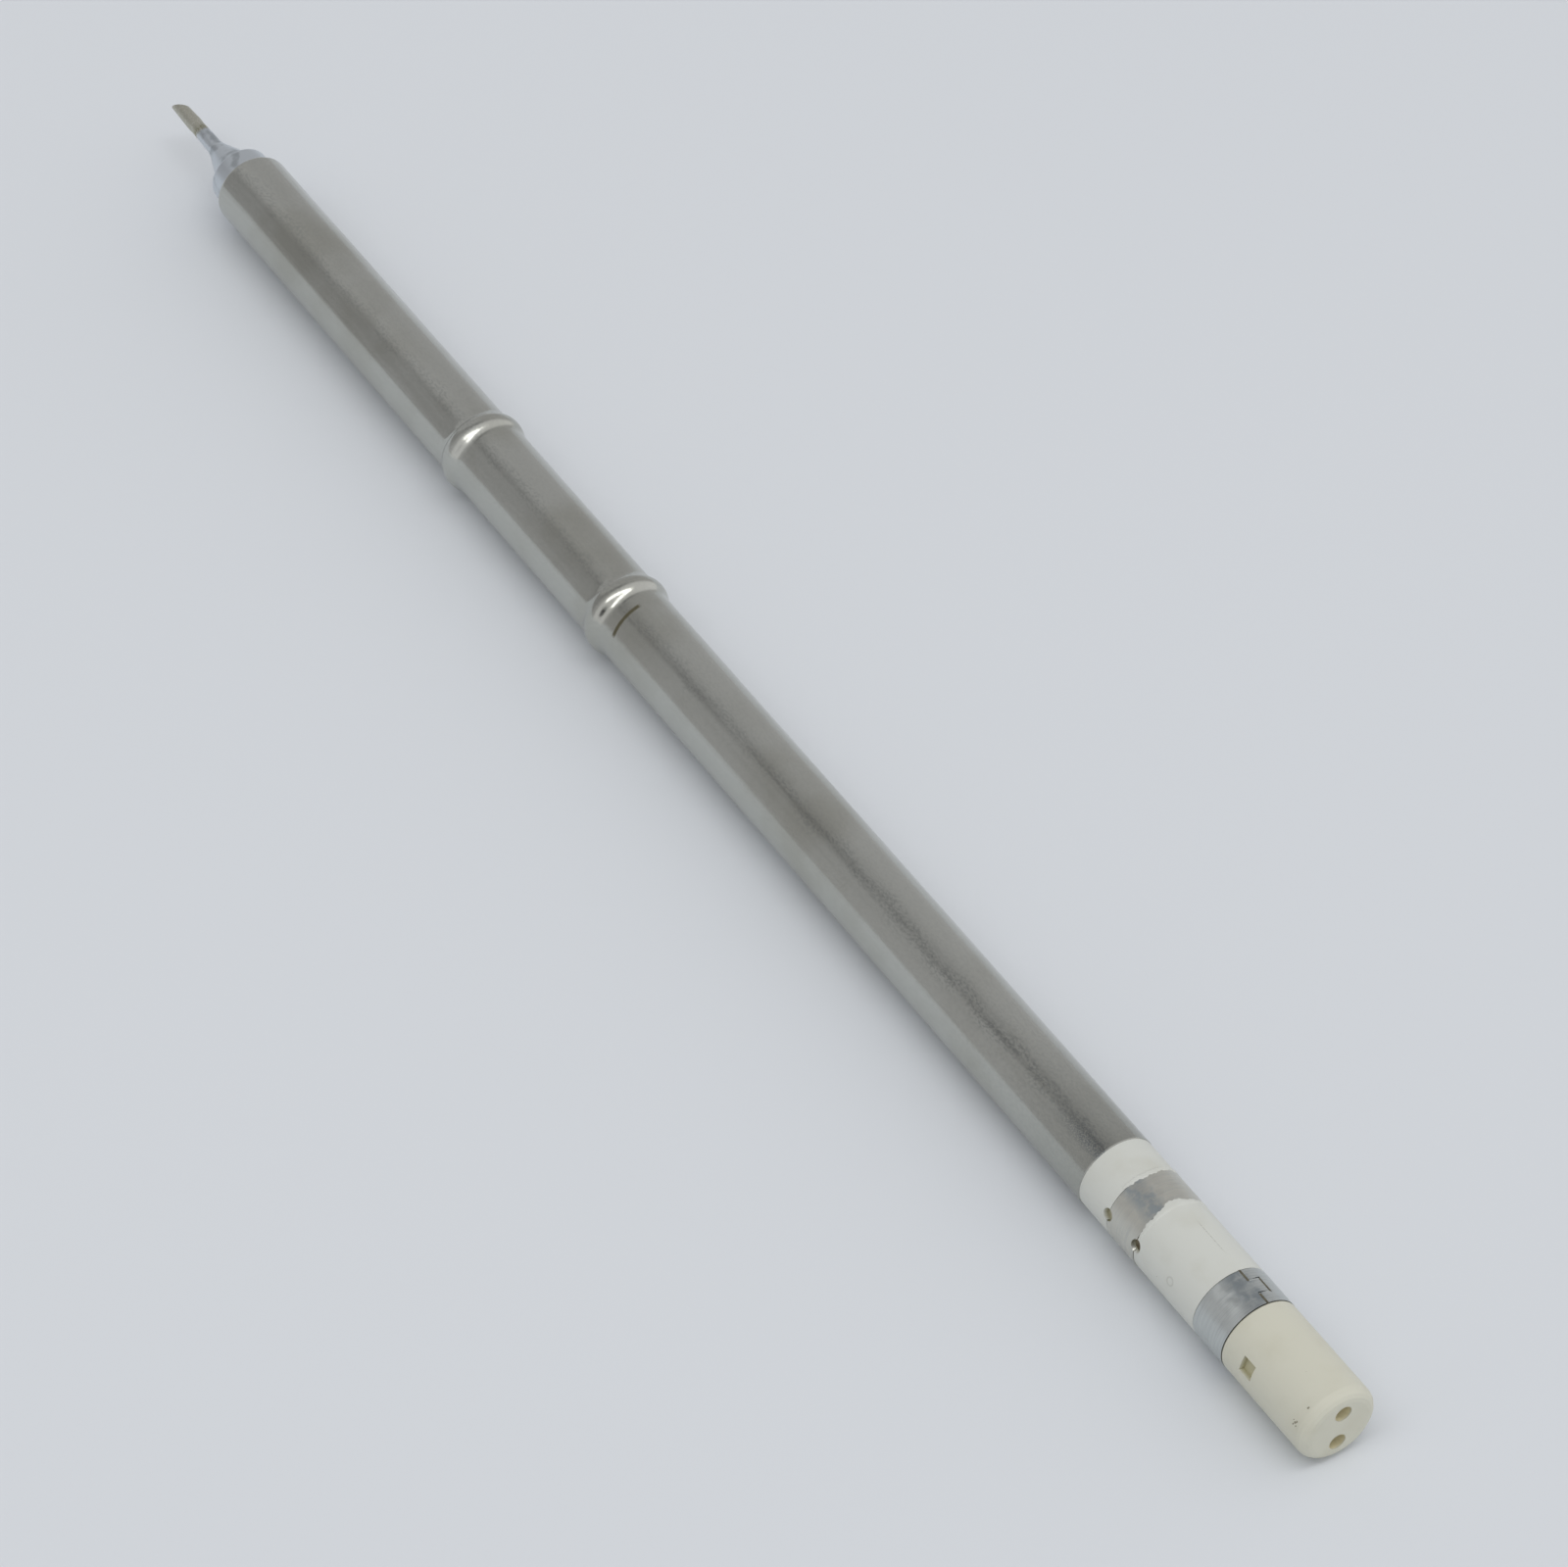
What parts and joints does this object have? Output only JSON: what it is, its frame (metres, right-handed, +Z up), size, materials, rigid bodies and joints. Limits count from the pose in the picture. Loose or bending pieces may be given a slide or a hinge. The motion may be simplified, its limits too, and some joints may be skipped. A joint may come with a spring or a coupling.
{
  "type": "soldering iron tip",
  "caption": "Long cartridge soldering tip: slim bevelled bit, steel barrel with rolled beads, ceramic contact end with metal rings.",
  "frame": {"origin": "middle of the rear end face, on the axis of the cartridge", "axes": "+X along the axis towards the bit, +Z up as the cartridge lies in the picture"},
  "size_m": [0.1445, 0.0062, 0.0062],
  "materials": {
    "plated_bit": "iron-plated copper with a chromium skin, tinned at the point",
    "steel_barrel": "drawn stainless steel, satin, handled",
    "white_ceramic": "fired, unglazed",
    "cream_ceramic": "fired, unglazed",
    "front_contact_metal": "nickel-plated strip, worn",
    "rear_contact_metal": "nickel-plated strip, worn",
    "inner_ceramic": "fired, unglazed",
    "heating_wire": "oxidised resistance wire",
    "lead_wire": "bare nickel wire",
    "weld_metal": "weld, lightly oxidised",
    "cement": "set ceramic cement"
  },
  "bodies": {
    "root": {"soldering_bit": "plated_bit", "barrel_tube": "steel_barrel", "insulating_sleeve": "inner_ceramic", "heater_former": "inner_ceramic", "heater_coil": "heating_wire", "sensor_bead": "weld_metal", "centring_bush": "inner_ceramic", "insulator_front": "inner_ceramic", "insulator_middle": "inner_ceramic", "insulator_rear": "inner_ceramic", "heater_lead": "lead_wire", "sensor_lead": "lead_wire", "cement_plug": "cement", "contact_carrier": "white_ceramic", "front_contact_ring": "front_contact_metal", "rear_contact_ring": "rear_contact_metal", "front_ring_weld": "weld_metal", "rear_ring_weld": "weld_metal", "end_cap": "cream_ceramic"}
  },
  "joints": []
}
